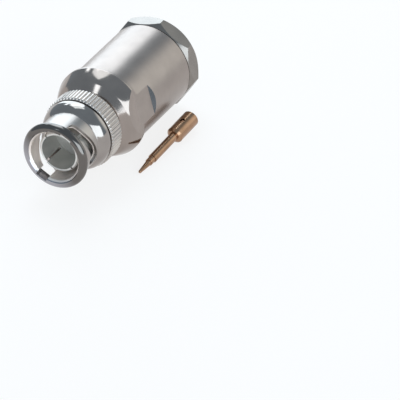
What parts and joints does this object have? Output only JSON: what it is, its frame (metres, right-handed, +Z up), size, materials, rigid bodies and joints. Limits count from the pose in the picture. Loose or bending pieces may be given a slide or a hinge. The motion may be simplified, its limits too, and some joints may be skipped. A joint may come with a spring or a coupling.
{
  "type": "bnc connector",
  "caption": "Clamp-type bayonet cable plug for thick coaxial cable, with knurled coupling nut, stepped barrel, eight-sided clamp nut and a loose solder contact lying beside it.",
  "frame": {"origin": "centre of the mating face, at the front end of the slotted outer contact", "axes": "-Y out of the mating socket along the plug's axis, +Y towards the cable, +Z up as it lies"},
  "size_m": [0.021, 0.041, 0.0182],
  "materials": {
    "bright_nickel": "bright nickel plate on brass",
    "satin_nickel": "turned and satin nickel plate on brass",
    "spring_steel": "plain spring steel",
    "ptfe": "white, waxy",
    "silicone": "grey, matt",
    "gold_brass": "gold flash on turned brass"
  },
  "bodies": {
    "plug_body": {"body": "satin_nickel", "outer_contact": "bright_nickel", "interface_gasket": "silicone", "front_insulator": "ptfe", "rear_insulator": "ptfe", "braid_clamp": "bright_nickel", "cable_gasket": "silicone", "front_washer": "bright_nickel", "wave_spring": "spring_steel", "contact_pin": "gold_brass"},
    "thrust_washer": {"thrust_washer": "bright_nickel"},
    "coupling_nut": {"coupling_nut": "bright_nickel", "retaining_ring": "spring_steel"},
    "slip_washer": {"slip_washer": "bright_nickel"},
    "clamp_nut": {"clamp_nut": "satin_nickel"}
  },
  "joints": [
    {"name": "coupling_travel", "type": "slide", "parent": "plug_body", "child": "thrust_washer", "axis": [0, -1, 0], "range_m": [0, 0.0005], "stiffness_N_per_m": 2000, "deforming": ["wave_spring"]},
    {"name": "coupling_spin", "type": "hinge", "parent": "thrust_washer", "child": "coupling_nut", "pos_m": [0, 0, 0], "axis": [0, -1, 0], "continuous": true},
    {"name": "clamp_draw", "type": "slide", "parent": "plug_body", "child": "slip_washer", "axis": [0, 1, 0], "range_m": [0, 0.0041]},
    {"name": "clamp_nut_turn", "type": "hinge", "parent": "slip_washer", "child": "clamp_nut", "pos_m": [0, 0, 0], "axis": [0, 1, 0], "range_deg": [0, 1440]}
  ],
  "couplings": [
    {"joint": "clamp_draw", "follows": "clamp_nut_turn", "m_per_rad": 0.00015915}
  ]
}
